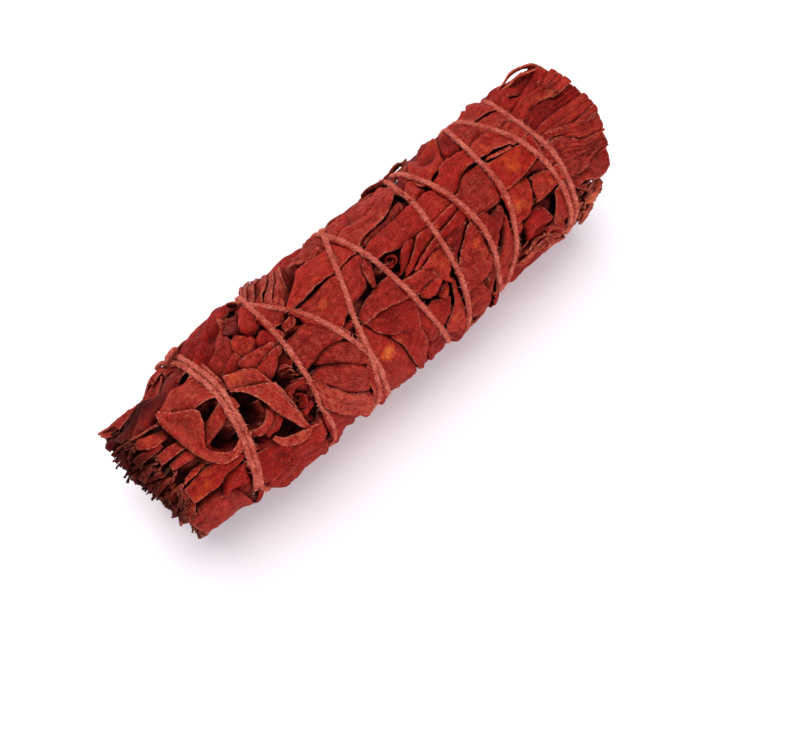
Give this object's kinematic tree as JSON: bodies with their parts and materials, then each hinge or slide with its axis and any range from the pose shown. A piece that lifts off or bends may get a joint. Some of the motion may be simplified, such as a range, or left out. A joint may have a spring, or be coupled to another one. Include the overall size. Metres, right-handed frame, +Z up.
{
  "type": "sage smudge stick",
  "caption": "Dried red-dyed sage bundle: leafy stems pressed side by side into a round stick and bound with crossing turns of soft cotton thread, cut at both ends.",
  "frame": {"origin": "centre of the bundle's length and width, on the surface that the bundle lies on", "axes": "+X along the bundle from the knotted end to the other cut end, +Y across it, +Z up"},
  "size_m": [0.112, 0.0334, 0.0319],
  "materials": {
    "dried_leaf": "dry, deep red dye, matte",
    "woody_stem": "dry, dark red brown, matte",
    "cotton_thread": "soft twisted cotton, faded red, fuzzy"
  },
  "bodies": {
    "root": {"sprig_1": "dried_leaf", "sprig_2": "dried_leaf", "sprig_3": "dried_leaf", "sprig_4": "dried_leaf", "sprig_5": "dried_leaf", "sprig_6": "dried_leaf", "sprig_7": "dried_leaf", "sprig_8": "dried_leaf", "sprig_9": "dried_leaf", "sprig_middle": "woody_stem", "binding_thread": "cotton_thread"}
  },
  "joints": []
}
